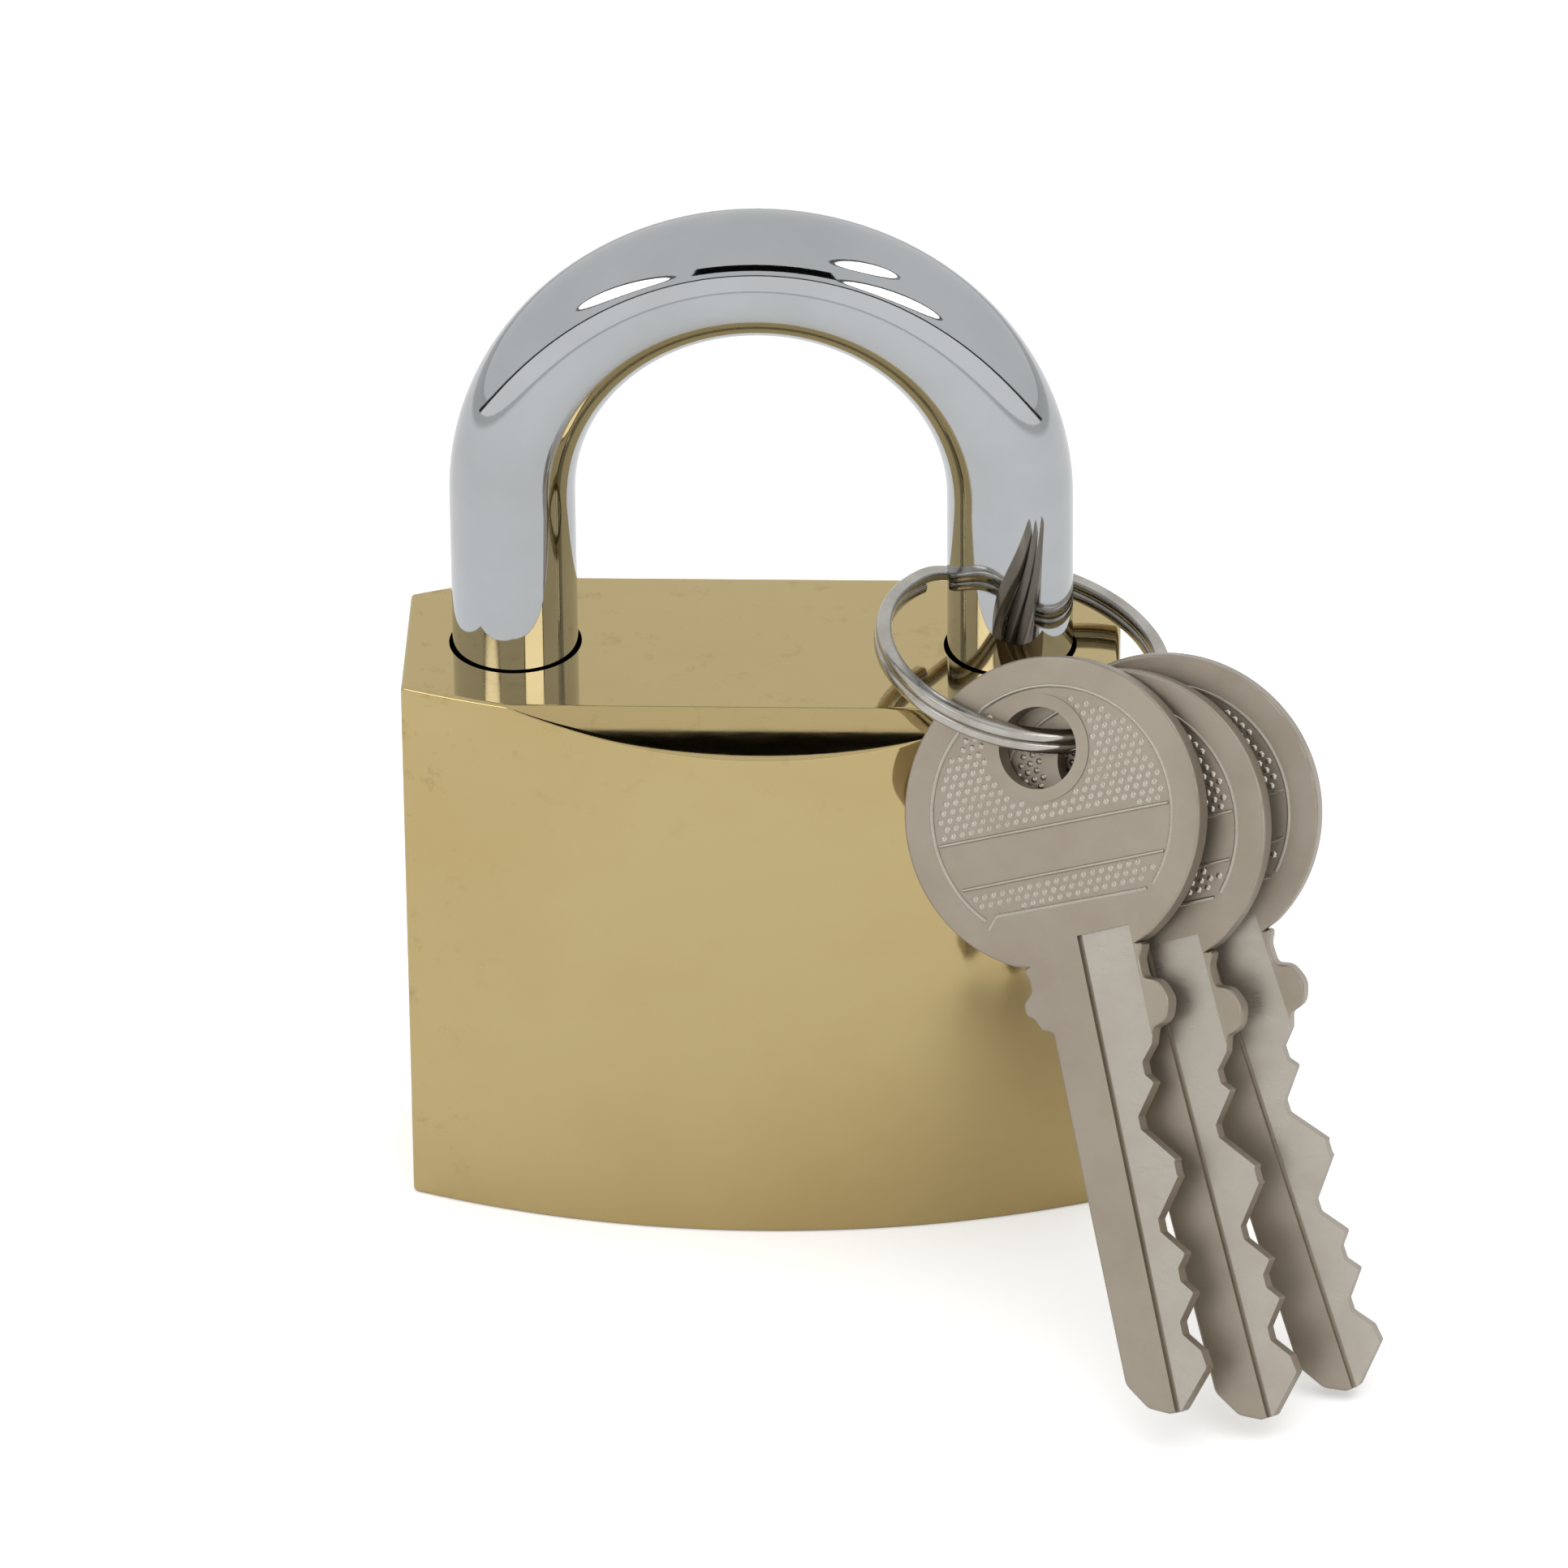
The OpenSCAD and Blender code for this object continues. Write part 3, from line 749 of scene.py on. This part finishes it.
CARRIED = {"plug": turned_brass, "cam": bright_steel, "toe_latch": bright_steel, "heel_latch": bright_steel,
           "shackle_spring": spring_steel, "heel_retaining_pin": brass, "plug_retaining_pin": brass,
           "latch_bore_plug": brass}
REPEATED = {"key_pin": turned_brass, "driver_pin": bright_steel, "pin_spring": spring_steel,
            "chamber_plug": brass}
for stem, material in REPEATED.items():
    for number in range(PINS):
        CARRIED["%s_%d" % (stem, number + 1)] = material
for name, material in CARRIED.items():
    nodes[name].data.materials.clear()
    nodes[name].data.materials.append(material)
for name in ("plug", "cam", "toe_latch", "heel_latch"):
    bevel(nodes[name], 0.12 * MM, 2, 40)


# ---------------------------------------------------------------- studio

def emitter(name, strength):
    material = bpy.data.materials.new(name)
    material.use_nodes = True
    tree = material.node_tree
    tree.nodes.remove(tree.nodes["Principled BSDF"])
    glow = tree.nodes.new("ShaderNodeEmission")
    glow.inputs["Color"].default_value = (1, 1, 1, 1)
    glow.inputs["Strength"].default_value = strength
    tree.links.new(glow.outputs["Emission"], tree.nodes["Material Output"].inputs["Surface"])
    return material


def hidden_card(name, corners, faces, strength):
    """A glowing card that only shows in reflections."""
    piece = mesh_object(name, corners, faces)
    piece.data.materials.append(emitter(name, strength))
    piece.visible_camera = False
    piece.visible_shadow = False
    piece.visible_diffuse = False


def toward(azimuth, elevation):
    """Direction from the lock; azimuth 0 is the front (-Y), positive towards +X; degrees."""
    a, e = math.radians(azimuth), math.radians(elevation)
    return Vector((math.sin(a) * math.cos(e), -math.cos(a) * math.cos(e), math.sin(e)))


def card(name, centre, facing, width, height, strength, sides=4):
    """A flat card about a point, square to the direction it faces: a rectangle or an oval; metres."""
    right = facing.cross(Vector((0, 0, 1))).normalized()
    up = right.cross(facing).normalized()
    reach = math.sqrt(0.5) if sides == 4 else 0.5
    corners = []
    for k in range(sides):
        a = 2 * math.pi * (k + 0.5) / sides
        corners.append(centre + right * (reach * width * math.cos(a)) + up * (reach * height * math.sin(a)))
    hidden_card(name, corners, [list(range(sides))], strength)


# The middle of the lock, in metres; the wall's angles are degrees and its distance is metres
HEART = Vector((0, 0, 0.05))
WALL_FOOT, WALL_SIDE, WALL_MIDDLE, WALL_AWAY, WALL_COLUMNS = -20, -12, 34, 0.6, 41


def wall_row(rise):
    """Points along the wall's curved brim, raised by some degrees, or along its level foot."""
    points = []
    for k in range(WALL_COLUMNS):
        azimuth = -120 + 240 * k / (WALL_COLUMNS - 1)
        brim = WALL_SIDE + WALL_MIDDLE * math.cos(math.radians(azimuth * 0.75)) ** 1.5
        elevation = WALL_FOOT if rise is None else brim + rise
        points.append(HEART + toward(azimuth, elevation) * WALL_AWAY)
    return points


def build_wall(name, low, high, strength):
    """A wall round the front whose brim falls from the middle towards both sides."""
    hidden_card(name, wall_row(low) + wall_row(high), grid_faces(2, WALL_COLUMNS), strength)


# Distances in metres, then how pale the floor is up to the near one and beyond the far one
FLOOR_HALF, FLOOR_NEAR, FLOOR_FAR = 1.6, 0.36, 0.44
FLOOR_PALE, FLOOR_GREY, FLOOR_LIFT = 0.93, 0.62, 0.34


def build_floor():
    """A pale floor, white round the lock and greyer further out."""
    half = FLOOR_HALF
    floor = mesh_object("floor", [(-half, -half, 0), (half, -half, 0), (half, half, 0), (-half, half, 0)],
                        [[0, 1, 2, 3]])
    material = bpy.data.materials.new("floor_white")
    material.use_nodes = True
    tree = material.node_tree
    shader = tree.nodes["Principled BSDF"]
    shader.inputs["Roughness"].default_value = 0.9
    shader.inputs["Specular IOR Level"].default_value = 0.1
    place = tree.nodes.new("ShaderNodeTexCoord")
    length = tree.nodes.new("ShaderNodeVectorMath")
    length.operation = "LENGTH"
    tree.links.new(place.outputs["Object"], length.inputs[0])
    shade_out = ramp(tree, length.outputs["Value"], [(FLOOR_NEAR, FLOOR_PALE), (FLOOR_FAR, FLOOR_GREY)])
    tree.links.new(shade_out, shader.inputs["Base Color"])
    # The camera sees the floor a little brighter than the reflections do
    seen = tree.nodes.new("ShaderNodeLightPath")
    lift = tree.nodes.new("ShaderNodeMath")
    lift.operation = "MULTIPLY"
    lift.inputs[1].default_value = FLOOR_LIFT
    tree.links.new(seen.outputs["Is Camera Ray"], lift.inputs[0])
    shader.inputs["Emission Color"].default_value = (1, 1, 1, 1)
    tree.links.new(lift.outputs["Value"], shader.inputs["Emission Strength"])
    floor.data.materials.append(material)


build_floor()
build_wall("wall_front", None, 0, 1.02)
build_wall("wall_brim", 0, 2.0, 0.03)
card("dark_near", Vector((0, -0.0875, 0.1318)), toward(0, 45), 0.066, 0.021, 0.004)
for name, azimuth, elevation, width, height in (("window_left", -44, 33, 0.32, 0.11),
                                                ("window_right", 36, 30, 0.30, 0.11),
                                                ("window_top", 56, 55, 0.26, 0.11)):
    card(name, HEART + toward(azimuth, elevation) * 0.55, toward(azimuth, elevation), width, height, 3.0, 32)
    card(name + "_edge", HEART + toward(azimuth, elevation + 0.4) * 0.56, toward(azimuth, elevation),
         width + 0.035, height + 0.03, 0.12, 32)

world = bpy.data.worlds.new("studio")
bpy.context.scene.world = world
world.use_nodes = True
world.node_tree.nodes["Background"].inputs["Color"].default_value = (0.99, 1, 1, 1)
world.node_tree.nodes["Background"].inputs["Strength"].default_value = 0.82

overhead = bpy.data.lights.new("overhead", "AREA")
overhead.shape = "DISK"
overhead.size = 1.6
overhead.energy = 5.5
lamp = bpy.data.objects.new("overhead", overhead)
lamp.location = (0, -0.2, 1.3)
lamp.visible_glossy = False
bpy.context.scene.collection.objects.link(lamp)


# ---------------------------------------------------------------- camera

# Target in millimetres, direction from it to the camera, distance in metres, lens and sensor in
# millimetres, roll in radians
TARGET, AWAY, DISTANCE = (1.383, 0, 29.882), (0.03226, -0.86483, 0.50103), 0.95615
LENS, SENSOR, ROLL = 312.15, 36, -0.0106


def build_camera():
    """Seen from the front, half a metre up and 0.83 m away, with a long lens."""
    target = Vector(TARGET) * MM
    back = Vector(AWAY).normalized()
    right = (-back).cross(Vector((0, 0, 1))).normalized()
    up = right.cross(-back).normalized()
    side = right * math.cos(ROLL) + up * math.sin(ROLL)
    rise = up * math.cos(ROLL) - right * math.sin(ROLL)
    data = bpy.data.cameras.new("camera")
    data.sensor_width = SENSOR
    data.lens = LENS
    data.clip_end = 20
    camera = bpy.data.objects.new("camera", data)
    bpy.context.scene.collection.objects.link(camera)
    place = Matrix((side, rise, back)).transposed().to_4x4()
    place.translation = target + back * DISTANCE
    camera.matrix_world = place
    bpy.context.scene.camera = camera


build_camera()
bpy.context.scene.view_settings.view_transform = "Standard"
